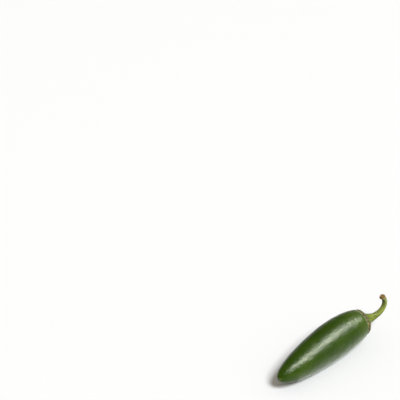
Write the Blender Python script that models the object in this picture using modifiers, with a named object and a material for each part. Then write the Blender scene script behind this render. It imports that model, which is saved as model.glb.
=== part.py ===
"""A fresh green chilli pepper, as picked, lying on its side. Metres, +Z up.

The chilli is three grown pieces: the pod, the calyx that caps its shoulder, and the stem.
The origin lies on the resting surface, under the middle of the whole chilli.
+X runs along the pod from its tip towards the stem.
"""

import math

import bpy
from mathutils import Vector
from mathutils.geometry import interpolate_bezier

MM = 0.001
GAP = 0.3 * MM  # between two pieces that touch on the real chilli

# The pod, measured along its spine from the tip
POD_RADIUS = 7.9 * MM
WIDEST_AT = 36.5 * MM
TIP_FULLNESS = 5.9 * MM  # how far the blunt tip heads straight outwards
FLANK_FULLNESS = 8.0 * MM
RIM_AT = 52.8 * MM  # the edge of the calyx
RIM_RADIUS = 5.7 * MM
RIM_SLOPE = math.radians(34)  # how steeply the shoulder draws in where it meets the calyx
SHOULDER_FULLNESS = 7.0 * MM
SHOULDER_EDGE = 1.7 * MM
CROWN_RADIUS = 5.1 * MM  # the low dome that the calyx hides
CROWN_HEIGHT = 1.2 * MM
SCAR_RADIUS = 0.5 * MM  # the dried foot of the flower's style, on the tip
SCAR_HEIGHT = 0.3 * MM

# The spine starts level at the tip, rises towards the calyx and swings to one side on the way
RISE = 2.0 * MM
SWAY = 1.65 * MM
SWAY_SPAN = 58.6 * MM

# Three seed chambers swell the pod a little, most of all at the shoulder
LOBES = 3
LOBE_SWELL = 0.014
LOBE_START = math.radians(25)
OVAL_SWELL = 0.006

FLAT_DEPTH = 0.16 * MM  # how much of the belly is pressed flat by its own weight

# The calyx, measured up from the plane of its rim
NECK_RADIUS = 3.6 * MM
NECK_HEIGHT = 2.7 * MM
BEAD_RADIUS = 0.28 * MM  # the corky bead along the rim
BEAD_REACH = 5.72 * MM  # from the calyx's middle to the bead's
RIBS = 5
RIB_SWELL = 0.02

# The stem, measured from its root on the calyx's neck
STEM_LENGTH = 17.0 * MM
STEM_HEADING = math.radians(-5)  # above the horizontal, where it leaves the neck
STEM_YAW = math.radians(-12)  # to the side, seen from above
STEM_TURN = math.radians(138)
STEM_RADIUS = 0.92 * MM
ROOT_RADIUS = 3.5 * MM
ROOT_FLARE = 2.9 * MM  # the length in which the flare of the root shrinks to about a third
END_RADIUS = 1.3 * MM
END_SWELL = 2.2 * MM  # the length of the swollen end
RIDGE_SWELL = 0.07

SIDES = 48
TIP_RINGS = 20
SHOULDER_RINGS = 8
CROWN_RINGS = 5
STEM_RINGS = 34
STEM_SIDES = 20
MERGE = 0.00001

LEAF_GREEN = (0.055, 0.110, 0.030, 1.0)
POD_GREEN = (0.045, 0.105, 0.010, 1.0)
STEM_GREEN = (0.220, 0.290, 0.050, 1.0)


def clear_scene():
    for old in list(bpy.data.objects):
        bpy.data.objects.remove(old)


def new_collection(name):
    made = bpy.data.collections.new(name)
    bpy.context.scene.collection.children.link(made)
    return made


def new_material(name, colour, roughness):
    made = bpy.data.materials.new(name)
    made.use_nodes = True
    shader = made.node_tree.nodes["Principled BSDF"]
    shader.inputs["Base Color"].default_value = colour
    shader.inputs["Roughness"].default_value = roughness
    shader.inputs["Metallic"].default_value = 0.0
    made.diffuse_color = colour
    return made


def quarter_ellipse(middle, reach, rise, steps):
    """(radius, height) points of a quarter ellipse, from its widest level to the axis."""
    turns = [0.5 * math.pi * i / steps for i in range(steps + 1)]
    return [(reach * math.cos(t), middle + rise * math.sin(t)) for t in turns]


def bezier(start, leave, arrive, end, steps):
    """(radius, height) points of one Bezier stretch, ends included."""
    corners = [Vector((x, z, 0)) for x, z in (start, leave, arrive, end)]
    return [(p.x, p.y) for p in interpolate_bezier(*corners, steps)]


def spine(along):
    """Point of the spine at a distance from the tip, and the directions square to it: up and sideways."""
    share = along / SWAY_SPAN
    point = Vector((along, SWAY * 6.75 * share**2 * (1 - share), RISE * (along / RIM_AT) ** 2))
    side_slope = SWAY * 6.75 * (2 * share - 3 * share**2) / SWAY_SPAN
    rise_slope = RISE * 2 * along / RIM_AT**2
    heading = Vector((1, side_slope, rise_slope)).normalized()
    up = heading.cross(Vector((0, 1, 0))).normalized()
    return point, up, up.cross(heading)


def grown(straight):
    """Where a point of the straight turned shape lies once its lobes swell and its spine bends."""
    point, up, sideways = spine(straight.z)
    around = math.atan2(straight.y, straight.x)
    ripeness = min(max(straight.z / WIDEST_AT, 0), 1)
    swell = 1 + LOBE_SWELL * ripeness**2 * math.cos(LOBES * around + LOBE_START)
    swell += OVAL_SWELL * math.cos(2 * around)
    return point + (up * straight.x - sideways * straight.y) * swell


def turned(name, profile, sides):
    """Mesh turned about Z from (radius, height) points that run from its top down its outer side."""
    outline = bpy.data.meshes.new(name + "_outline")
    outline.from_pydata([(r, 0, h) for r, h in profile], [(i, i + 1) for i in range(len(profile) - 1)], [])
    lathe = bpy.data.objects.new(name + "_lathe", outline)
    bpy.context.scene.collection.objects.link(lathe)
    screw = lathe.modifiers.new("Turn", "SCREW")
    screw.steps = screw.render_steps = sides
    screw.use_merge_vertices = True
    screw.merge_threshold = MERGE
    bpy.context.view_layer.update()
    mesh = bpy.data.meshes.new_from_object(lathe.evaluated_get(bpy.context.evaluated_depsgraph_get()))
    mesh.name = name
    bpy.data.objects.remove(lathe)
    return mesh


def place(name, data, material, collection, parent):
    obj = bpy.data.objects.new(name, data)
    data.materials.clear()
    data.materials.append(material)
    collection.objects.link(obj)
    obj.parent = parent
    return obj


def smooth(mesh):
    mesh.shade_smooth()
    mesh.set_sharp_from_angle(angle=math.radians(50))


def pod_profile():
    """The pod from the top of its crown, over the ledge that holds the calyx, down to the tip."""
    rim = (RIM_RADIUS, RIM_AT)
    edge = (
        RIM_RADIUS + SHOULDER_EDGE * math.sin(RIM_SLOPE),
        RIM_AT - SHOULDER_EDGE * math.cos(RIM_SLOPE),
    )
    widest = (POD_RADIUS, WIDEST_AT)
    after_widest = (POD_RADIUS, WIDEST_AT + SHOULDER_FULLNESS)
    before_widest = (POD_RADIUS, WIDEST_AT - FLANK_FULLNESS)
    crown = quarter_ellipse(RIM_AT, CROWN_RADIUS, CROWN_HEIGHT, CROWN_RINGS)
    crown.reverse()
    shoulder = bezier(rim, edge, after_widest, widest, SHOULDER_RINGS)
    flank = bezier(widest, before_widest, (TIP_FULLNESS, 0), (0, 0), TIP_RINGS)
    flank = [point for point in flank[1:] if point[0] > SCAR_RADIUS]
    scar = quarter_ellipse(flank[-1][1], SCAR_RADIUS, -SCAR_HEIGHT, 3)
    return crown + shoulder + flank + scar


def calyx_profile():
    """The calyx from its flat neck down to the bead of its rim, and back under to the axis."""
    rim = GAP + BEAD_RADIUS
    back = bezier(
        (NECK_RADIUS, NECK_HEIGHT), (4.3 * MM, 2.2 * MM), (5.2 * MM, 1.6 * MM),
        (BEAD_REACH, rim + BEAD_RADIUS), 9,
    )
    turns = [math.pi * (0.5 - i / 6) for i in range(1, 7)]
    bead = [(BEAD_REACH + BEAD_RADIUS * math.cos(t), rim + BEAD_RADIUS * math.sin(t)) for t in turns]
    under = quarter_ellipse(0, CROWN_RADIUS + GAP, CROWN_HEIGHT + GAP, 6)[1:]
    profile = [(0, NECK_HEIGHT)] + back + bead + under
    return [(radius, RIM_AT + height) for radius, height in profile]


def make_pod(collection, cutters, parent):
    mesh = turned("pod", pod_profile(), SIDES)
    for vertex in mesh.vertices:
        vertex.co = grown(vertex.co)
    smooth(mesh)
    pod = place("pod", mesh, new_material("pod_skin", POD_GREEN, 0.35), collection, parent)

    lowest = min(vertex.co.z for vertex in mesh.vertices)
    table = lowest + FLAT_DEPTH
    bpy.ops.mesh.primitive_cube_add(size=2 * RIM_AT, location=(RIM_AT / 2, 0, table - RIM_AT))
    cutter = bpy.context.object
    cutter.name = "table_cut"
    for owner in list(cutter.users_collection):
        owner.objects.unlink(cutter)
    cutters.objects.link(cutter)
    cutter.parent = parent
    cutter.display_type = "WIRE"
    cutter.hide_render = True
    cut = pod.modifiers.new("Flat belly", "BOOLEAN")
    cut.operation = "DIFFERENCE"
    cut.object = cutter
    return pod, table


def make_calyx(collection, parent):
    mesh = turned("calyx", calyx_profile(), SIDES)
    for vertex in mesh.vertices:
        rib = 1 + RIB_SWELL * math.cos(RIBS * math.atan2(vertex.co.y, vertex.co.x))
        vertex.co = grown(Vector((vertex.co.x * rib, vertex.co.y * rib, vertex.co.z)))
    smooth(mesh)
    return place("calyx", mesh, new_material("calyx_skin", LEAF_GREEN, 0.6), collection, parent)


def stem_radius(share):
    """Radius of the stem at a share of its length: a flared root, a slim shaft and a swollen end."""
    along = share * STEM_LENGTH
    root = (ROOT_RADIUS - STEM_RADIUS) * math.exp(-along / ROOT_FLARE)
    near_end = max(0, 1 - (STEM_LENGTH - along) / END_SWELL)
    end = (END_RADIUS - STEM_RADIUS) * near_end**2 * (3 - 2 * near_end)
    return STEM_RADIUS + root + end


def stem_path():
    """Points along the stem. Its heading grows with the square of the distance, so it curls ever tighter.
    The flared root starts square to the calyx's neck and turns into that curl."""
    point, up, sideways = spine(RIM_AT + NECK_HEIGHT + GAP)
    axis = sideways.cross(up)
    forward = Vector((math.cos(STEM_YAW), math.sin(STEM_YAW), 0))
    step = STEM_LENGTH / STEM_RINGS
    points = [point.copy()]
    for i in range(STEM_RINGS):
        along = (i + 0.5) * step
        heading = STEM_HEADING + STEM_TURN * (along / STEM_LENGTH) ** 2
        curl = forward * math.cos(heading) + Vector((0, 0, math.sin(heading)))
        point += step * axis.lerp(curl, min(along / ROOT_FLARE, 1)).normalized()
        points.append(point.copy())
    return points


def poly_curve(name, points, radii, cyclic):
    curve = bpy.data.curves.new(name, "CURVE")
    curve.dimensions = "3D"
    line = curve.splines.new("POLY")
    line.points.add(len(points) - 1)
    for at, point, radius in zip(line.points, points, radii):
        at.co = (*point, 1)
        at.radius = radius
    line.use_cyclic_u = cyclic
    line.use_smooth = True
    return curve


def make_stem(collection, cutters, parent):
    turns = [2 * math.pi * i / STEM_SIDES for i in range(STEM_SIDES)]
    reach = [1 + RIDGE_SWELL * math.cos(RIBS * t) for t in turns]
    section = [(r * math.cos(t), -r * math.sin(t), 0) for r, t in zip(reach, turns)]
    outline = poly_curve("stem_section", section, [1] * STEM_SIDES, True)
    guide = bpy.data.objects.new("stem_section", outline)
    cutters.objects.link(guide)
    guide.display_type = "WIRE"
    guide.hide_render = True

    path = stem_path()
    radii = [stem_radius(i / STEM_RINGS) for i in range(STEM_RINGS + 1)]
    curve = poly_curve("stem", path, radii, False)
    curve.bevel_mode = "OBJECT"
    curve.bevel_object = guide
    curve.use_fill_caps = True
    return place("stem", curve, new_material("stem_skin", STEM_GREEN, 0.5), collection, parent)


def world_box(objects):
    """Lowest and highest corner of the evaluated objects."""
    bpy.context.view_layer.update()
    graph = bpy.context.evaluated_depsgraph_get()
    corners = []
    for obj in objects:
        seen = obj.evaluated_get(graph)
        corners += [seen.matrix_world @ Vector(corner) for corner in seen.bound_box]
    low = Vector([min(c[k] for c in corners) for k in range(3)])
    high = Vector([max(c[k] for c in corners) for k in range(3)])
    return low, high


def main():
    clear_scene()
    pieces = new_collection("chilli_pepper")
    helpers = new_collection("helpers")
    whole = bpy.data.objects.new("chilli", None)
    pieces.objects.link(whole)

    pod, table = make_pod(pieces, helpers, whole)
    calyx = make_calyx(pieces, whole)
    stem = make_stem(pieces, helpers, whole)

    low, high = world_box([pod, calyx, stem])
    whole.location = (-(low.x + high.x) / 2, -(low.y + high.y) / 2, -table)


main()
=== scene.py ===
# %% [markdown]
# # A fresh green chilli
# A green chilli lies on its side on a white table. It is three grown things: a glossy pod, a leafy cap
# on its shoulder called the calyx, and a stalk that curls up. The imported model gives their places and
# sizes. This lesson works each of them out again as a fine surface with numpy, and gives each a finish
# made of nodes.

# %% Load the frame
import math

import bpy
import numpy as np
from mathutils import Matrix, Vector


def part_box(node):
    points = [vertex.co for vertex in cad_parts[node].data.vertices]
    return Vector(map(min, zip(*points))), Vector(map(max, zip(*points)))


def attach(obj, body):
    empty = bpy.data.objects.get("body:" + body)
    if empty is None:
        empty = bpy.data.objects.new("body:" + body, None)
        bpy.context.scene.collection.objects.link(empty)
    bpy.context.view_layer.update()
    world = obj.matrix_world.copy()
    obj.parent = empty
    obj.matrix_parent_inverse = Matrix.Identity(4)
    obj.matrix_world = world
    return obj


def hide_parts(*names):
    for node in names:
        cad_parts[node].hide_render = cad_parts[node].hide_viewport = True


MM = 0.001
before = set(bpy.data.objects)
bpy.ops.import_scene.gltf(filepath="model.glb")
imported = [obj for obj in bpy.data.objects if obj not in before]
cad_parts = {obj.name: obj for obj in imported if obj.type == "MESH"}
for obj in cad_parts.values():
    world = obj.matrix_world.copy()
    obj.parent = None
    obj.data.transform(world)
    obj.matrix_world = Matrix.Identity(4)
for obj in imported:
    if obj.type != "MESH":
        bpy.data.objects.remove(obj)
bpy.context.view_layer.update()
print("the frame's nodes:", sorted(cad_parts))

# %% [markdown]
# ## Surfaces from grids
# Every piece here is a tube in some way: rings of points, one behind the other, closed at both ends. The
# rings could be made by hand with vertices and loops, but whole arrays are shorter and quick. A grid of
# shape (rings, sides, 3) holds the points, and the faces are found from the grid's own numbering. A mesh
# can carry numbers of its own for its material, which are called attributes.


# %% A closed skin over a grid of rings
def closed_skin(name, rings, **attributes):
    """A mesh object over the rings: quads between neighbours, and a fan round each end ring's middle."""
    count, sides = rings.shape[:2]
    number = np.arange(count * sides).reshape(count, sides)
    beside = np.roll(number, -1, axis=1)
    quads = np.stack([number[:-1], beside[:-1], beside[1:], number[1:]], axis=-1).reshape(-1, 4)
    first, last = count * sides, count * sides + 1
    start_fan = np.stack([beside[0], number[0], np.full(sides, first)], axis=-1)
    end_fan = np.stack([number[-1], beside[-1], np.full(sides, last)], axis=-1)
    poles = np.stack([rings[0].mean(axis=0), rings[-1].mean(axis=0)])
    mesh = bpy.data.meshes.new(name)
    points = np.concatenate([rings.reshape(-1, 3), poles])
    mesh.from_pydata(points.tolist(), [], quads.tolist() + start_fan.tolist() + end_fan.tolist())
    for label, values in attributes.items():
        ends = np.stack([values[0].mean(axis=0), values[-1].mean(axis=0)])
        flat = np.concatenate([values.reshape(count * sides, -1), ends.reshape(2, -1)]).astype(np.float32)
        kind, key = ("FLOAT", "value") if flat.shape[1] == 1 else ("FLOAT_VECTOR", "vector")
        mesh.attributes.new(label, kind, "POINT").data.foreach_set(key, flat.ravel())
    mesh.shade_smooth()
    piece = bpy.data.objects.new(name, mesh)
    bpy.context.scene.collection.objects.link(piece)
    print(name, "has", len(mesh.polygons), "faces")
    return piece


# %% [markdown]
# ## Waves instead of chance
# A grown thing is never quite even. Random numbers for every point would give a rough, sandy surface,
# and a seam where the ring closes. A sum of a few cosine waves is smooth, and closes by itself, because
# each wave fits a whole number of times round the ring. The waves' phases are drawn once, from a seed.


# %% Smooth unevenness, round a ring and along a pod
def wobble(around, waves, seed):
    """Sum of cosines with the given whole numbers of waves round the ring, scaled to stay near -1 to 1."""
    phases = np.random.default_rng(seed).uniform(0, 2 * np.pi, len(waves))
    total = sum(np.cos(k * around + phase) for k, phase in zip(waves, phases))
    return total / math.sqrt(len(waves))


def ripple(along, around, waves, length, seed):
    """Like wobble, but each wave also travels along the piece, once in about the given length."""
    rng = np.random.default_rng(seed)
    total = 0
    for k in waves:
        travel, phase = rng.uniform(-1, 1), rng.uniform(0, 2 * np.pi)
        total = total + np.cos(k * around + 2 * np.pi * travel * along / length + phase)
    return total / math.sqrt(len(waves))


def eased(value, start, end):
    """0 before start, 1 after end, and between them the smooth step 3s^2 - 2s^3 of the share s."""
    share = np.clip((value - start) / (end - start), 0, 1)
    return share * share * (3 - 2 * share)


print("a wobble at four places:", np.round(wobble(np.arange(4.0), (2, 3, 5), 1), 2))

# %% [markdown]
# ## The pod's form
# The pod is a turned form whose spine has bent. Its outline is two Bezier stretches: one from the blunt
# tip to the widest place, and one over the shoulder to the edge of the calyx. The spine is level at the
# tip, rises towards the calyx and swings a little to one side. The frame's pod was made from the same
# sizes, so the fine surface lies on the plain one. Only the shoulder is a little rounder here.

# %% The pod's sizes
POD_RADIUS = 7.9 * MM
WIDEST_AT = 36.5 * MM
TIP_FULLNESS = 5.9 * MM
FLANK_FULLNESS = 8.0 * MM
RIM_AT = 52.8 * MM
RIM_RADIUS = 5.6 * MM
RIM_SLOPE = math.radians(54)
SHOULDER_FULLNESS = 7.7 * MM
SHOULDER_EDGE = 1.7 * MM
CROWN_HEIGHT = 1.2 * MM
RISE = 2.0 * MM
SWAY = 1.65 * MM
SWAY_SPAN = 58.6 * MM
SWAY_SCALE = 27 / 4
LOBES = 3
LOBE_SWELL = 0.014
LOBE_START = math.radians(25)
OVAL_SWELL = 0.006
POD_SIDES = 200


# %% The spine, and a point on a ring round it
def bezier(start, leave, arrive, end, count):
    """Points of a Bezier stretch: the four corners weighted by (1-t)^3, 3t(1-t)^2, 3t^2(1-t) and t^3."""
    t = np.linspace(0, 1, count)[:, None]
    corners = [np.array(corner) for corner in (start, leave, arrive, end)]
    weights = ((1 - t) ** 3, 3 * t * (1 - t) ** 2, 3 * t**2 * (1 - t), t**3)
    return sum(weight * corner for weight, corner in zip(weights, corners))


def spine(along):
    """Points of the spine at distances from the tip, and the directions square to it: up and sideways.

    The rise goes with the square of the distance. The sway goes with the square of the share gone times
    the share left, which is 4/27 at most, so the scale makes its peak the named sway.
    """
    share = along / SWAY_SPAN
    sway = SWAY * SWAY_SCALE * share**2 * (1 - share)
    sway_slope = SWAY * SWAY_SCALE * (2 * share - 3 * share**2) / SWAY_SPAN
    point = np.stack([along, sway, RISE * (along / RIM_AT) ** 2], axis=-1)
    heading = np.stack([np.ones_like(along), sway_slope, RISE * 2 * along / RIM_AT**2], axis=-1)
    heading /= np.linalg.norm(heading, axis=-1, keepdims=True)
    up = np.cross(heading, (0, 1, 0))
    up /= np.linalg.norm(up, axis=-1, keepdims=True)
    return point, up, np.cross(up, heading)


def round_spine(along, radius, around):
    """Points round the spine: the radius times cosine of the angle upwards, and less its sine sideways.

    The radius swells by a cosine of three waves, for the pod's three lobes, and by one of two waves.
    """
    point, up, sideways = spine(along)
    ripeness = np.clip(along / WIDEST_AT, 0, 1)
    swell = 1 + LOBE_SWELL * ripeness**2 * np.cos(LOBES * around + LOBE_START)
    swell = swell + OVAL_SWELL * np.cos(2 * around)
    reach = (radius * swell)[..., None]
    return point + reach * (up * np.cos(around)[..., None] - sideways * np.sin(around)[..., None])


def ring_grid(profile, sides):
    """Distance along, radius and angle, as three grids, for a profile of (radius, along) points."""
    angles = np.linspace(0, 2 * np.pi, sides, endpoint=False)
    along, around = np.meshgrid(profile[:, 1], angles, indexing="ij")
    radius = np.meshgrid(profile[:, 0], angles, indexing="ij")[0]
    return along, radius, around


print("the spine rises to", round(float(spine(np.array([RIM_AT]))[0][0, 2]) / MM, 2), "mm at the calyx")

# %% [markdown]
# ## Where the pod lies
# The grid starts at the tip, with the tip at the origin. The frame says where it belongs: the end of the
# crown, the middle of the width and the height of the back all come from the frame's pod.

# %% The pod's outline and its place
rim = (RIM_RADIUS, RIM_AT)
edge = (RIM_RADIUS + SHOULDER_EDGE * math.sin(RIM_SLOPE), RIM_AT - SHOULDER_EDGE * math.cos(RIM_SLOPE))
widest = (POD_RADIUS, WIDEST_AT)
flank = bezier((0, 0), (TIP_FULLNESS, 0), (POD_RADIUS, WIDEST_AT - FLANK_FULLNESS), widest, count=170)
shoulder = bezier(widest, (POD_RADIUS, WIDEST_AT + SHOULDER_FULLNESS), edge, rim, count=80)
crown_top = (0, RIM_AT + CROWN_HEIGHT)
crown = bezier(rim, (5.1 * MM, RIM_AT + 0.8 * MM), (2.5 * MM, RIM_AT + CROWN_HEIGHT), crown_top, count=14)
outline = np.concatenate([flank[1:], shoulder[1:], crown[1:-1]])

along, radius, around = ring_grid(outline, POD_SIDES)
plain = round_spine(along, radius, around)
low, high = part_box("pod")
place = np.array([
    high.x - RIM_AT - CROWN_HEIGHT,
    (low.y + high.y) / 2 - (plain[..., 1].min() + plain[..., 1].max()) / 2,
    high.z - plain[..., 2].max(),
])
print("the tip lies at", np.round(place / MM, 2), "mm")

# %% [markdown]
# ## The pod's skin
# Close up, the skin isn't a perfect form: broad soft swells make the highlight wander, and the shoulder
# tucks into faint folds round the calyx. Sculpting would do it, but waves added to the radius keep it a
# formula. The tip keeps the dried foot of the flower's style, a small nub. What would sink below the
# table is pressed flat.

# %% The pod
BROAD_SWELL = 0.035 * MM
BROAD_SPAN = 26 * MM
SMALL_SWELL = 0.014 * MM
SMALL_SPAN = 7 * MM
FOLD_DEPTH = 0.07 * MM
NUB_RADIUS = 0.45 * MM
NUB_HEIGHT = 0.2 * MM
NUB_PLACE = (0.3 * MM, 0.8 * MM)
BODY_START = (1 * MM, 9 * MM)
FOLD_START = (RIM_AT - 5 * MM, RIM_AT - 0.5 * MM)


def pod_points():
    """The plain form, its radius changed by broad and small ripples and by folds near the calyx."""
    body = eased(along, *BODY_START)
    near_calyx = eased(along, *FOLD_START)
    relief = BROAD_SWELL * body * ripple(along, around, (1, 2, 3, 4, 5), BROAD_SPAN, seed=4)
    relief = relief + SMALL_SWELL * body * ripple(along, around, (5, 7, 8, 10, 11), SMALL_SPAN, seed=9)
    relief = relief + FOLD_DEPTH * near_calyx * wobble(around, (5, 8, 11), seed=2)
    points = round_spine(along, radius + relief, around) + place
    from_nub = np.hypot(radius * np.cos(around) - NUB_PLACE[0], radius * np.sin(around) - NUB_PLACE[1])
    points[..., 0] -= NUB_HEIGHT * np.exp(-((from_nub / NUB_RADIUS) ** 4))
    points[..., 2] = np.maximum(points[..., 2], 0)
    return points


straight = np.stack([radius * np.cos(around), radius * np.sin(around), along], axis=-1)
pod = closed_skin("pod_skin", pod_points(), straight=straight)
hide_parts("pod")
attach(pod, "root")

# %% [markdown]
# ## The calyx
# The calyx is what is left of the flower's green cup. It hugs the shoulder with a corky brown bead,
# thick in one place and thin in the next, and rises over a low dome to the stalk. Five weak ribs run
# from the stalk to the bead, and end there in blunt teeth. A turned form would be too even, and a
# sculpted one has no sizes to change. So it is a profile carried round the spine, whose radius and
# height both change with the angle.

# %% The calyx's profile
BEAD_RADIUS = 0.26 * MM
BEAD_REACH = 5.54 * MM
BEAD_HEIGHT = 0.18 * MM
BACK_DROP = 0.2
BACK_TURN = math.radians(38)
NECK_RADIUS = 3.6 * MM
NECK_HEIGHT = 2.7 * MM
RIM_SPREAD = 0.05 * MM
RIM_LIFT = 0.10 * MM
LUMP_SWELL = 0.06 * MM
SMALL_LUMP_SWELL = 0.03 * MM
RIBS = 5
RIB_START = 0.5
RIB_SWELL = 0.09 * MM
TOOTH_REACH = 0.03 * MM
TOOTH_LENGTH = 0.08 * MM
GRAIN_SWELL = 0.035 * MM
GRAIN_SPAN = 1.5 * MM
CALYX_SIDES = 240
BACK_START = (0.2 * MM, 1.2 * MM)
RIM_END = (1.6 * MM, 0.4 * MM)
BEAD_END = (0.75 * MM, 0.45 * MM)
BEAD_START = (4.6 * MM, 5.4 * MM)
DOME_START = (0.4 * MM, 1.0 * MM)
# The value of the part tucked against the pod, where the finish paints near-black shade for the gap.
GAP_SHADE_LEVEL = 2.0

turns = np.linspace(-0.75 * np.pi, 0.42 * np.pi, 16)
bead = np.stack([BEAD_REACH + BEAD_RADIUS * np.cos(turns), BEAD_HEIGHT + BEAD_RADIUS * np.sin(turns)], -1)
dome = bezier(bead[-1], (6.15 * MM, 1.1 * MM), (4.9 * MM, 2.2 * MM), (NECK_RADIUS, NECK_HEIGHT), count=30)
lid = bezier(dome[-1], (2.6 * MM, 3.1 * MM), (1.5 * MM, 3.2 * MM), (0.3 * MM, 3.2 * MM), count=8)
tuck = bezier((0.3 * MM, 0.3 * MM), (2.5 * MM, 0.3 * MM), (4.5 * MM, 0.2 * MM), bead[0], count=10)
calyx_line = np.concatenate([tuck[:-1], bead, dome[1:], lid[1:]])
# Under the bead the value rises from 1 to 2, into the near-black painted shade of the gap against the pod.
cork_and_shade_under_bead = 1 + eased(turns, -0.25 * np.pi, -0.45 * np.pi)
above_bead = eased(np.arange(1.0, len(dome)), 6, 0)
cork_and_gap_shade = np.concatenate([
    np.full(len(tuck) - 1, GAP_SHADE_LEVEL), cork_and_shade_under_bead, above_bead, np.zeros(len(lid) - 1),
])
print("the calyx is", round((calyx_line[:, 1].max() - calyx_line[:, 1].min()) / MM, 2), "mm tall")


# %% The calyx
def calyx_points(over, reach, turn):
    """The profile round the spine, with waves on its rim, lumps on its bead and ribs across its dome."""
    towards_back = 0.5 + 0.5 * np.cos(turn + BACK_TURN)
    over = over * (1 - BACK_DROP * towards_back * eased(over, *BACK_START))
    at_rim = eased(over, *RIM_END)
    at_bead = eased(over, *BEAD_END) * eased(reach, *BEAD_START)
    on_dome = eased(over, *DOME_START)
    ribs = np.cos(RIBS * turn + RIB_START)
    reach = reach + at_rim * (RIM_SPREAD * wobble(turn, (3, 4, 6, 9), seed=5) + TOOTH_REACH * ribs**3)
    over = over + at_rim * (RIM_LIFT * wobble(turn, (2, 3, 7), seed=6) - TOOTH_LENGTH * ribs**3)
    lumps = LUMP_SWELL * wobble(turn, (9, 13, 17, 22, 29), seed=7)
    lumps = lumps + SMALL_LUMP_SWELL * wobble(turn, (31, 43, 52), seed=8)
    reach = reach + at_bead * lumps
    reach = reach + on_dome * RIB_SWELL * ribs
    reach = reach + on_dome * GRAIN_SWELL * ripple(over, turn, (11, 16, 23, 31), GRAIN_SPAN, seed=11)
    return round_spine(RIM_AT + over, reach, turn) + place


over, reach, turn = ring_grid(calyx_line, CALYX_SIDES)
cork = np.broadcast_to(cork_and_gap_shade[:, None], over.shape)
cap_straight = np.stack([reach * np.cos(turn), reach * np.sin(turn), over], axis=-1)
calyx = closed_skin("calyx_cap", calyx_points(over, reach, turn), straight=cap_straight, cork=cork)
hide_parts("calyx")
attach(calyx, "root")

# %% [markdown]
# ## The stalk's path
# The stalk leaves the neck almost level, a little below its middle, then curls up, ever tighter. A
# circle's arc would curl evenly, so it wouldn't match. On this path the heading grows with the square of
# the distance, as on the easing curves of a railway, and stays the same on the last short stretch.
# Summing short steps in the direction of the heading gives the points.

# %% The stalk's path
STEM_LENGTH = 17.6 * MM
STEM_HEADING = math.radians(-6)
STEM_YAW = math.radians(-11)
STEM_TURN = math.radians(160)
STEM_LAST_HEADING = math.radians(124)
STEM_RADIUS = 1.03 * MM
ROOT_RADIUS = 3.5 * MM
ROOT_FLARE = 3.1 * MM
ROOT_DEPTH = 1.6 * MM
ROOT_SPREAD = 1.22
ROOT_SINK = 0.25 * MM
FRAME_GAP = 0.3 * MM
STEM_RINGS = 220

root, root_up, root_side = (value[0] for value in spine(np.array([RIM_AT + NECK_HEIGHT + FRAME_GAP])))
axis = np.cross(root_side, root_up)
forward = np.array([math.cos(STEM_YAW), math.sin(STEM_YAW), 0])
middle = (np.arange(STEM_RINGS) + 0.5) / STEM_RINGS
heading = np.minimum(STEM_HEADING + STEM_TURN * middle**2, STEM_LAST_HEADING)[:, None]
curl = forward * np.cos(heading) + np.array([0, 0, 1]) * np.sin(heading)
share = np.clip(middle * STEM_LENGTH / ROOT_FLARE, 0, 1)[:, None]
steps = axis * (1 - share) + curl * share
steps /= np.linalg.norm(steps, axis=-1, keepdims=True)
path = np.concatenate([root[None], root + np.cumsum(steps * STEM_LENGTH / STEM_RINGS, axis=0)]) + place
path = path - root_up * ROOT_SINK
tangent = np.gradient(path, axis=0)
tangent /= np.linalg.norm(tangent, axis=-1, keepdims=True)
side = np.array([-math.sin(STEM_YAW), math.cos(STEM_YAW), 0])
across = side - tangent * (tangent @ side)[:, None]
across /= np.linalg.norm(across, axis=-1, keepdims=True)
inward = np.cross(tangent, across)
print("the stalk ends", round(float(path[-1, 2]) / MM, 1), "mm above the table")

# %% [markdown]
# ## The stalk
# The stalk flares like a trumpet where it grows out of the calyx, and swells again at the scar where it
# broke off the plant. Five soft ridges and finer fibres run along it and twist a little on the way. The
# end is a corky ring round a shallow dent, and the root goes on into the calyx, so no gap shows between
# them. Carrying a section along the path is what a curve's bevel does too, but a grid lets the section
# change on the way.


# %% The stalk's section
def stalk_radius(distance):
    """A slim shaft, plus a root that dies away exponentially."""
    return STEM_RADIUS + (ROOT_RADIUS - STEM_RADIUS) * np.exp(-distance / ROOT_FLARE)


END_LUMP = 0.5 * MM
END_OUTER_SHARE = 0.15
END_BACK = 0.15 * MM
END_HALF = 0.42 * MM


def end_lump(distance, around):
    """Half an ellipse along the last stretch, full on the curl's inner side and a small share outside."""
    share = (distance - (STEM_LENGTH - END_BACK)) / END_HALF
    inner_share = (0.5 + 0.5 * np.cos(around)) ** 2
    thickness = END_OUTER_SHARE + (1 - END_OUTER_SHARE) * inner_share
    return END_LUMP * np.sqrt(np.clip(1 - share**2, 0, 1)) * thickness


STEM_SIDES = 120
TWIST = math.radians(50)
RIDGES = 5
RIDGE_START = 0.5
RIDGE_SWELL = 0.05
FIBRE_SWELL = 0.018
FIBRE_SPAN = 14 * MM
END_SWELL = 0.035
END_SPAN = 1.6 * MM
SHAFT_END = (STEM_LENGTH - 1.6 * MM, STEM_LENGTH - 0.6 * MM)
distance = np.linspace(0, STEM_LENGTH, STEM_RINGS + 1)
angles = np.linspace(0, 2 * np.pi, STEM_SIDES, endpoint=False)
gone, turned = np.meshgrid(distance, angles, indexing="ij")
twisted = turned + TWIST * gone / STEM_LENGTH
shaft = 1 - eased(gone, *SHAFT_END)
girth = stalk_radius(gone) * (1 + RIDGE_SWELL * shaft * np.cos(RIDGES * twisted + RIDGE_START))
girth *= 1 + shaft * FIBRE_SWELL * ripple(gone, twisted, (9, 13, 16, 21), FIBRE_SPAN, seed=21)
girth += end_lump(gone, turned)
girth *= 1 + (1 - shaft) * END_SWELL * ripple(gone, turned, (3, 5, 8, 13), END_SPAN, seed=22)
print("the stalk is", round(2 * float(stalk_radius(12 * MM)) / MM, 2), "mm thick in its middle")


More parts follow.
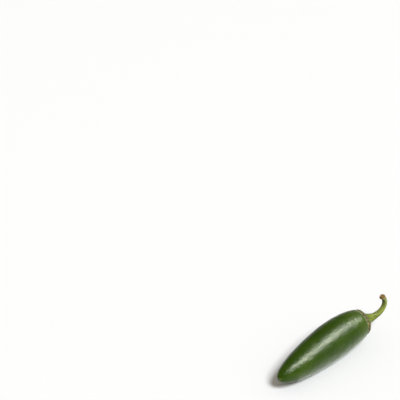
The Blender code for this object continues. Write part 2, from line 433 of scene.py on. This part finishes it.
# %% The stalk's broken end
END_TILT = 0.1 * MM
TILT_START = (STEM_LENGTH - 1.3 * MM, STEM_LENGTH - 0.4 * MM)
DENT_SCALE = 1.6 * MM
DENT_SPREAD = np.array([0.93, 0.82, 0.66, 0.45, 0.22])[:, None]
DENT_HEIGHT = np.array([0.12, 0.17, 0.12, 0.02, -0.04])[:, None] * DENT_SCALE
DENT_RINGS = len(DENT_SPREAD)
DENT_SWELL = 0.03


def carried(girths, centres, ups, sides):
    """Rings round the path's points: each girth times cosine of the angle upwards and sine sideways."""
    up_part = ups[:, None] * np.cos(turned[: len(girths)])[..., None]
    side_part = sides[:, None] * np.sin(turned[: len(girths)])[..., None]
    return centres[:, None] + girths[..., None] * (up_part + side_part)


tilt = END_TILT * np.cos(turned) * eased(gone, *TILT_START)
tube = carried(girth, path, inward, across) + tangent[:, None] * tilt[..., None]
unevenness = 1 + DENT_SWELL * wobble(turned[:DENT_RINGS], (4, 7, 11), seed=23)
end_girth = DENT_SPREAD * girth[-1:] * unevenness
end_centre = path[-1:] + DENT_HEIGHT * tangent[-1:]
end_up, end_side = (np.repeat(direction[-1:], DENT_RINGS, 0) for direction in (inward, across))
end_rings = carried(end_girth, end_centre, end_up, end_side)
end_rings = end_rings + tangent[-1] * (DENT_SPREAD * tilt[-1:])[..., None]
root_ring = path[0] + (tube[:1] - path[0]) * ROOT_SPREAD - axis * ROOT_DEPTH
stalk_points = np.concatenate([root_ring, tube, end_rings])
print("the stalk has", len(stalk_points), "rings")

# %% The stalk
DENT_FIBRE_STEP = 0.5 * MM
DENT_CORK_STEP = 1.0 * MM
SCAR_TURN = math.radians(225)
SCAR_SIDE = (0.65, 0.9)
SCAR_LENGTH = 1.4 * MM
LIP_SIDE = (0.2, 0.8)
LIP_LENGTH = 0.35 * MM

fibre = np.stack([np.cos(twisted) * MM, np.sin(twisted) * MM, gone], axis=-1)
narrowing = np.concatenate([DENT_SPREAD, DENT_SPREAD, np.ones_like(DENT_SPREAD)], axis=1)
end_fibre = np.repeat(fibre[-1:], DENT_RINGS, 0) * narrowing[:, None]
end_fibre[..., 2] += DENT_FIBRE_STEP
inner = np.cos(turned)
at_scar = eased(np.cos(turned - SCAR_TURN), *SCAR_SIDE)
browning = gone + SCAR_LENGTH * at_scar + LIP_LENGTH * eased(inner, *LIP_SIDE)
end_browning = browning[-DENT_RINGS:] + DENT_CORK_STEP
stalk = closed_skin(
    "stem_stalk", stalk_points,
    straight=np.concatenate([fibre[:1], fibre, end_fibre]),
    inner=np.concatenate([inner[:1], inner, inner[:DENT_RINGS] * 0]),
    corky=np.concatenate([browning[:1], browning, end_browning]),
)
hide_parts("stem")
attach(stalk, "root")

# %% [markdown]
# ## Finishes
# A finish is a graph of nodes. It could be drawn in the node editor, but written out it can be read and
# changed. A few helpers keep it short: the first makes a material with its shader, the second adds a
# node, sets its inputs and joins it to others, and the rest are groups of nodes that come back often.
# Patterns read the attribute named straight, which says where each point would be if the pod or the
# stalk weren't bent, so they follow the surface and have no seam.


# %% Helpers for finishes
def new_finish(name, roughness):
    """A material, its node tree and its Principled shader, with that roughness."""
    material = bpy.data.materials.new(name)
    material.use_nodes = True
    shader = material.node_tree.nodes["Principled BSDF"]
    shader.inputs["Roughness"].default_value = roughness
    return material, material.node_tree, shader


def add(tree, kind, inputs=(), **settings):
    """A new node. Each input is a plain value, or another node's output socket, which is linked."""
    made = tree.nodes.new(kind)
    for key, value in settings.items():
        setattr(made, key, value)
    for key, value in dict(inputs).items():
        if isinstance(value, bpy.types.NodeSocket):
            tree.links.new(value, made.inputs[key])
        else:
            made.inputs[key].default_value = value
    return made


print("helpers for finishes ready")


# %% Helpers for patterns and colours
def pattern(tree, source, scale, size, detail=3.0, roughness=0.55):
    """Noise on stretched coordinates: scale stretches each direction, size is the blobs in a metre."""
    mapped = add(tree, "ShaderNodeMapping", {"Vector": source, "Scale": scale})
    made = add(tree, "ShaderNodeTexNoise", {
        "Vector": mapped.outputs["Vector"], "Scale": size, "Detail": detail, "Roughness": roughness,
    })
    return made.outputs["Fac"]


def ramp(tree, source, *stops):
    """Colours along a value from 0 to 1, each stop a (place, colour) pair."""
    made = add(tree, "ShaderNodeValToRGB", {"Fac": source})
    elements = made.color_ramp.elements
    while len(elements) < len(stops):
        elements.new(0.5)
    for element, (at, colour) in zip(elements, stops):
        element.position = at
        element.color = (*colour, 1)
    return made.outputs["Color"]


def spread(tree, source, from_low, from_high, to_low=0.0, to_high=1.0):
    """The value, moved smoothly from one range to another and held at its ends."""
    made = add(tree, "ShaderNodeMapRange", {
        "Value": source, "From Min": from_low, "From Max": from_high, "To Min": to_low, "To Max": to_high,
    }, interpolation_type="SMOOTHSTEP")
    return made.outputs["Result"]


def blended(tree, share, first, second):
    """Colour blended from first to second by the share."""
    made = add(tree, "ShaderNodeMix", data_type="RGBA")
    for socket, value in ((made.inputs[0], share), (made.inputs[6], first), (made.inputs[7], second)):
        if isinstance(value, bpy.types.NodeSocket):
            tree.links.new(value, socket)
        else:
            socket.default_value = (*value, 1) if isinstance(value, tuple) else value
    return made.outputs[2]


print("helpers for patterns and colours ready")


# %% Helpers for relief and borders
def bumped(tree, height, distance, under=None):
    """A normal raised by the height, by up to the distance in metres, over the relief under it."""
    inputs = {"Height": height, "Distance": distance, "Strength": 1.0}
    if under is not None:
        inputs["Normal"] = under
    return add(tree, "ShaderNodeBump", inputs).outputs["Normal"]


def straight_of(tree):
    """The straight coordinates, and their part along the piece."""
    found = add(tree, "ShaderNodeAttribute", attribute_name="straight").outputs["Vector"]
    return found, add(tree, "ShaderNodeSeparateXYZ", {"Vector": found}).outputs["Z"]


def wavy(tree, value, noise, height):
    """The value, raised by up to the height where the noise is strong, so that a border runs unevenly."""
    raised = add(tree, "ShaderNodeMath", {0: noise, 1: height, 2: value}, operation="MULTIPLY_ADD")
    return raised.outputs[0]


print("helpers for relief and borders ready")

# %% [markdown]
# ## The pod's finish
# Chilli skin is dark green under a thin clear wax, so most of its brightness is reflection. Its colour
# is a slow mix of near greens, a little streaked along the pod and fresher towards the calyx. There a
# soft pale band and a thin pale line close it: partly the skin's own paler edge and partly a painted
# reflection of the light on the fold against the calyx. Shallow dents and fine dimples, longer across
# the pod than along it, break the edge of the highlight into small marks. A bump in the shading is
# enough for them, because they are too shallow to show in the outline. The nub at the tip is dry and
# yellowish.

# %% The pod's finish
FRESH_FROM = 40 * MM
EDGE_WAVE = 1.2 * MM
DENT_DEPTH = 0.19 * MM
DIMPLE_DEPTH = 0.12 * MM

skin, tree, shader = new_finish("waxy_green_skin", 0.33)
shader.inputs["Specular IOR Level"].default_value = 0.22
shader.inputs["Specular Tint"].default_value = (1.0, 1.0, 0.89, 1)
where, up_pod = straight_of(tree)
clouds = pattern(tree, where, (1, 1, 0.45), 130)
streaks = pattern(tree, where, (1, 1, 0.12), 900, detail=4)
greens = ramp(
    tree, clouds,
    (0.3, (0.017, 0.044, 0.001)),
    (0.5, (0.025, 0.057, 0.0015)),
    (0.72, (0.037, 0.073, 0.003)),
)
streaked = blended(tree, spread(tree, streaks, 0.45, 0.75, 0, 0.35), greens, (0.044, 0.084, 0.004))
fresh = blended(tree, spread(tree, up_pod, FRESH_FROM, RIM_AT, 0, 0.5), streaked, (0.075, 0.125, 0.006))
wavy_edge = wavy(tree, up_pod, streaks, EDGE_WAVE)
# The soft pale band and the thin pale line at the calyx: partly paler skin, partly painted reflection of
# the light on the fold.
soft_pale_and_sheen_edge = spread(tree, wavy_edge, RIM_AT - 0.8 * MM, RIM_AT, 0, 0.22)
pale_and_glint_line = spread(tree, wavy_edge, RIM_AT - 0.3 * MM, RIM_AT, 0, 0.8)
softened = blended(tree, soft_pale_and_sheen_edge, fresh, (0.12, 0.165, 0.055))
edged = blended(tree, pale_and_glint_line, softened, (0.22, 0.27, 0.125))
from_nub = add(tree, "ShaderNodeVectorMath", {0: where, 1: (*NUB_PLACE, 0)}, operation="DISTANCE")
nub = spread(tree, from_nub.outputs["Value"], 1.6 * NUB_RADIUS, 0.7 * NUB_RADIUS)
coloured = blended(tree, nub, edged, (0.095, 0.11, 0.01))
tree.links.new(coloured, shader.inputs["Base Color"])
dents = pattern(tree, where, (1, 1, 0.8), 450, detail=2)
dimples = pattern(tree, where, (0.7, 0.7, 1.3), 1500, detail=3)
dented = bumped(tree, dents, DENT_DEPTH)
tree.links.new(bumped(tree, dimples, DIMPLE_DEPTH, under=dented), shader.inputs["Normal"])
sheen_noise = pattern(tree, where, (1, 1, 1), 420, detail=3)
tree.links.new(spread(tree, sheen_noise, 0.35, 0.65, 0.28, 0.38), shader.inputs["Roughness"])
pod.data.materials.append(skin)
print("the pod's finish has", len(tree.nodes), "nodes")

# %% [markdown]
# ## The calyx's finish
# The cap is dull grey-green with dark specks, and a clearer green where the stalk grows out of it. Cork
# grows on its edge: tan where it is raised and nearly black in its cracks. The cork could be a piece of
# its own, but on the real cap it has no clear border. So the attribute named cork says how near a point
# is to the edge, and noise makes the border ragged. Under the bead and on the part tucked against the
# pod the attribute rises on to 2, where a near-black painted shade stands for the shadow in the gap.

# %% The calyx's finish
CLEAR_FROM = 4.9 * MM
CLEAR_TO = 3.7 * MM
SPECK_DEPTH = 0.07 * MM
CRACK_DEPTH = 0.12 * MM

leafy, tree, shader = new_finish("leafy_cap", 0.6)
shader.inputs["Specular IOR Level"].default_value = 0.15
where = straight_of(tree)[0]
cork_edge_and_gap_shade = add(tree, "ShaderNodeAttribute", attribute_name="cork").outputs["Fac"]
specks = pattern(tree, where, (1, 1, 1), 2200, detail=4, roughness=0.65)
patches = pattern(tree, where, (1, 1, 1), 600)
leaf = ramp(
    tree, specks,
    (0.38, (0.045, 0.052, 0.014)),
    (0.50, (0.095, 0.105, 0.034)),
    (0.66, (0.19, 0.205, 0.080)),
)
leaf = blended(tree, spread(tree, patches, 0.45, 0.7, 0, 0.5), leaf, (0.13, 0.145, 0.045))
flattened = add(tree, "ShaderNodeMapping", {"Vector": where, "Scale": (1, 1, 0)}).outputs["Vector"]
from_middle = add(tree, "ShaderNodeVectorMath", {0: flattened}, operation="LENGTH").outputs["Value"]
leaf = blended(tree, spread(tree, from_middle, CLEAR_FROM, CLEAR_TO, 0, 0.85), leaf, (0.13, 0.165, 0.015))
cracks = pattern(tree, where, (1, 1, 1), 1420, detail=5, roughness=0.7)
cork_colour = ramp(
    tree, cracks,
    (0.43, (0.016, 0.011, 0.003)),
    (0.50, (0.15, 0.095, 0.026)),
    (0.60, (0.43, 0.305, 0.105)),
)
ragged = add(tree, "ShaderNodeMath", {0: cork_edge_and_gap_shade, 1: specks}, operation="ADD").outputs[0]
edged = blended(tree, spread(tree, ragged, 1.2, 1.4), leaf, cork_colour)
# Painted shade: near-black where the value nears 2, under the bead and on the part tucked against the pod.
coloured = blended(tree, spread(tree, ragged, 1.8, 2.1), edged, (0.035, 0.03, 0.01))
tree.links.new(coloured, shader.inputs["Base Color"])
rough_leaf = bumped(tree, specks, SPECK_DEPTH)
tree.links.new(bumped(tree, cracks, CRACK_DEPTH, under=rough_leaf), shader.inputs["Normal"])
calyx.data.materials.append(leafy)
print("the calyx's finish has", len(tree.nodes), "nodes")

# %% [markdown]
# ## The stalk's finish
# The stalk is a light yellow-green, streaked by its fibres. Painted light makes it lighter along its upper
# side, and painted shade makes it nearly black-green inside the last of the curl and darker underneath
# near the calyx. It is also paler on the outside near the end. Each of these needs two things at once, a
# side of the stalk and a stretch of its length, so the two shares are multiplied. The end is brown cork,
# which reaches further down at the scar.

# %% The stalk's finish
BARK_WAVE = 1.2 * MM
BARK_FROM = STEM_LENGTH + 0.5 * MM
BARK_TO = STEM_LENGTH + 0.7 * MM
FIBRE_DEPTH = 0.08 * MM

fibrous, tree, shader = new_finish("fibrous_stalk", 0.5)
shader.inputs["Specular IOR Level"].default_value = 0.15
where, up_stalk = straight_of(tree)
inside = add(tree, "ShaderNodeAttribute", attribute_name="inner").outputs["Fac"]
fibres = pattern(tree, where, (1, 1, 0.07), 2400, detail=4)
marks = pattern(tree, where, (1, 1, 0.6), 700)
greens = ramp(
    tree, fibres,
    (0.41, (0.070, 0.100, 0.006)),
    (0.50, (0.138, 0.175, 0.011)),
    (0.60, (0.27, 0.31, 0.045)),
)
greens = blended(tree, spread(tree, marks, 0.4, 0.7, 0, 0.5), greens, (0.135, 0.175, 0.012))
shades = (
    # painted light: the upper side lighter beyond the root
    ((0.3, 0.8), (5 * MM, 9 * MM), 0.45, (0.31, 0.35, 0.09)),
    # painted shade: near-black green inside the last of the curl
    ((0.3, 0.85), (10.5 * MM, 16.2 * MM), 1.0, (0.020, 0.034, 0.0005)),
    ((0.6, 0.0), (9 * MM, 14.5 * MM), 0.6, (0.32, 0.34, 0.13)),
    # painted shade: darker underneath near the calyx
    ((0.5, -0.1), (11 * MM, 5 * MM), 0.85, (0.085, 0.115, 0.004)),
)
for inner_range, along_range, strength, shade in shades:
    on_side = spread(tree, inside, *inner_range)
    on_stretch = spread(tree, up_stalk, *along_range, 0, strength)
    both = add(tree, "ShaderNodeMath", {0: on_side, 1: on_stretch}, operation="MULTIPLY").outputs[0]
    greens = blended(tree, both, greens, shade)
cracks = pattern(tree, where, (1, 1, 1), 1300, detail=5, roughness=0.7)
bark = ramp(
    tree, cracks,
    (0.38, (0.045, 0.025, 0.005)),
    (0.49, (0.20, 0.12, 0.030)),
    (0.60, (0.52, 0.35, 0.15)),
)
corky = add(tree, "ShaderNodeAttribute", attribute_name="corky").outputs["Fac"]
browned = spread(tree, wavy(tree, corky, cracks, BARK_WAVE), BARK_FROM, BARK_TO)
tree.links.new(blended(tree, browned, greens, bark), shader.inputs["Base Color"])
tree.links.new(bumped(tree, fibres, FIBRE_DEPTH), shader.inputs["Normal"])
stalk.data.materials.append(fibrous)
print("the stalk's finish has", len(tree.nodes), "nodes")

# %% [markdown]
# ## The table
# The table is plain white, and so wide that its edge lies at the horizon. It is one flat face: a plane
# from the menu would be the same, but its four corners are as quickly worked out.

# %% The table
TABLE_HALF = 30.0
TABLE_WHITE = (0.83, 0.83, 0.83, 1)
table_mesh = bpy.data.meshes.new("table_top")
corners = [(TABLE_HALF * x, TABLE_HALF * y, 0) for x, y in ((-1, -1), (1, -1), (1, 1), (-1, 1))]
table_mesh.from_pydata(corners, [], [(0, 1, 2, 3)])
table = bpy.data.objects.new("table_top", table_mesh)
bpy.context.scene.collection.objects.link(table)
white, tree, shader = new_finish("plain_white_table", 0.9)
shader.inputs["Base Color"].default_value = TABLE_WHITE
shader.inputs["Specular IOR Level"].default_value = 0.1
table.data.materials.append(white)
print("the table is", 2 * TABLE_HALF, "m wide")

# %% [markdown]
# ## The camera
# The camera looks down on the chilli at a slant, through a long lens. The chilli lies low on the right
# of the picture, so the camera isn't aimed at it. It keeps its direction and stands further to the left
# and higher, until the chilli is where it should be. A lens shift could do this too, but a plain camera
# is simpler.

# %% The camera
PICTURE = 400
FOCAL_PIXELS = 1111
SENSOR = 36.0
AZIMUTH = math.radians(-44.53)
ELEVATION = math.radians(27.15)
PIXELS_PER_METRE = 2400
MIDDLE_PIXEL = (320.5, 365.85)

back = Vector((
    math.sin(AZIMUTH) * math.cos(ELEVATION),
    -math.cos(AZIMUTH) * math.cos(ELEVATION),
    math.sin(ELEVATION),
))
rightwards = Vector((math.cos(AZIMUTH), math.sin(AZIMUTH), 0))
upwards = back.cross(rightwards)
under_middle = Vector((place[0] + RIM_AT / 2, place[1], 0))
right_pixels = MIDDLE_PIXEL[0] - PICTURE / 2
down_pixels = MIDDLE_PIXEL[1] - PICTURE / 2
aimed = back * FOCAL_PIXELS - rightwards * right_pixels + upwards * down_pixels
camera_data = bpy.data.cameras.new("camera")
camera_data.sensor_width = SENSOR
camera_data.lens = FOCAL_PIXELS / PICTURE * SENSOR
camera = bpy.data.objects.new("camera", camera_data)
bpy.context.scene.collection.objects.link(camera)
turned_axes = Matrix((rightwards, upwards, back)).transposed()
camera.matrix_world = Matrix.Translation(under_middle + aimed / PIXELS_PER_METRE) @ turned_axes.to_4x4()
bpy.context.scene.camera = camera
print("the camera's lens is", round(camera_data.lens, 1), "mm")

# %% [markdown]
# ## The light
# A soft light on the right, above the camera's height, gives the shadow, and the world adds an even,
# slightly warm light from all sides, which is all that reaches the shadow. Neither is seen in
# reflections, as if dark cloth hung round the table, because the wax would turn milky otherwise. What
# the wax does reflect is a large soft box, with a fainter one round it, and a low pale card beyond the
# stalk. A white table throws most light back at a glancing angle, more than a matt finish does, so one
# more panel lies on it along the pod. These four are seen in reflections only.

# %% The lights' places and strengths
LAMP_DISTANCE = 1.5
SUN_HEADING = math.radians(-104)
SUN_RISE = math.radians(52)
SUN_SOFTNESS = math.radians(21)
SUN_STRENGTH = 3.3
SUN_COLOUR = (0.97, 1.0, 1.035)
FILL_STRENGTH = 0.36
FILL_COLOUR = (1.08, 1.0, 0.90, 1)
BOX_SIZE = (1.14, 0.64)
BOX_RADIANCE = 34.5
HALO_SIZE = (1.3, 0.85)
HALO_RADIANCE = 3.6
BOX_FIRST = Vector((0.02, -0.38, 0.92)).normalized()
BOX_LAST = Vector((0.71, -0.33, 0.62)).normalized()
CARD_SIZE = (1.1, 0.3)
CARD_HEADING = math.radians(15)
CARD_RISE = math.radians(3)
CARD_RADIANCE = 2.0
GLOW_SIZE = (0.050, 0.018)
GLOW_PLACE = (0.002, -0.009, 0.0002)
GLOW_RADIANCE = 1.0
print("the sun stands", round(math.degrees(SUN_RISE)), "degrees high")


# %% Helpers for lights
def toward(heading, rise):
    """The direction with that heading from +X and that rise above the table."""
    return Vector((math.cos(heading) * math.cos(rise), math.sin(heading) * math.cos(rise), math.sin(rise)))


def hung(name, kind, direction, across):
    """A light of that kind, hung in a direction from the chilli and facing it, its X side along across."""
    lamp = bpy.data.objects.new(name, bpy.data.lights.new(name, kind))
    bpy.context.scene.collection.objects.link(lamp)
    facing = direction.normalized()
    along_side = (across - facing * across.dot(facing)).normalized()
    axes = Matrix((along_side, facing.cross(along_side), facing)).transposed()
    lamp.matrix_world = Matrix.Translation(facing * LAMP_DISTANCE) @ axes.to_4x4()
    return lamp


def panel(name, direction, across, size, radiance):
    """A rectangular light of that size and brightness, which only reflections see."""
    lamp = hung(name, "AREA", direction, across)
    lamp.data.shape = "RECTANGLE"
    lamp.data.size, lamp.data.size_y = size
    lamp.data.energy = radiance * math.pi * size[0] * size[1]
    lamp.visible_diffuse = False
    lamp.visible_camera = False
    return lamp


print("towards the sun:", [round(part, 2) for part in toward(SUN_HEADING, SUN_RISE)])

# %% The lights
sun = hung("key", "SUN", toward(SUN_HEADING, SUN_RISE), Vector((1, 0, 0)))
sun.data.energy = SUN_STRENGTH
sun.data.angle = SUN_SOFTNESS
sun.data.color = SUN_COLOUR
sun.visible_glossy = False

box = panel("soft_box", BOX_FIRST + BOX_LAST, BOX_LAST - BOX_FIRST, BOX_SIZE, BOX_RADIANCE)
panel("halo", BOX_FIRST + BOX_LAST, BOX_LAST - BOX_FIRST, HALO_SIZE, HALO_RADIANCE)
card_side = Vector((-math.sin(CARD_HEADING), math.cos(CARD_HEADING), 0))
panel("pale_card", toward(CARD_HEADING, CARD_RISE), card_side, CARD_SIZE, CARD_RADIANCE)
glow = panel("table_glow", Vector((0, 0, -1)), Vector((1, 0, 0)), GLOW_SIZE, GLOW_RADIANCE)
glow.location = GLOW_PLACE

world = bpy.data.worlds.new("studio")
bpy.context.scene.world = world
world.use_nodes = True
world.node_tree.nodes["Background"].inputs["Color"].default_value = FILL_COLOUR
world.node_tree.nodes["Background"].inputs["Strength"].default_value = FILL_STRENGTH
world.cycles_visibility.glossy = False
bpy.context.scene.view_settings.view_transform = "Standard"
print("the soft box gives", round(box.data.energy, 1), "W")
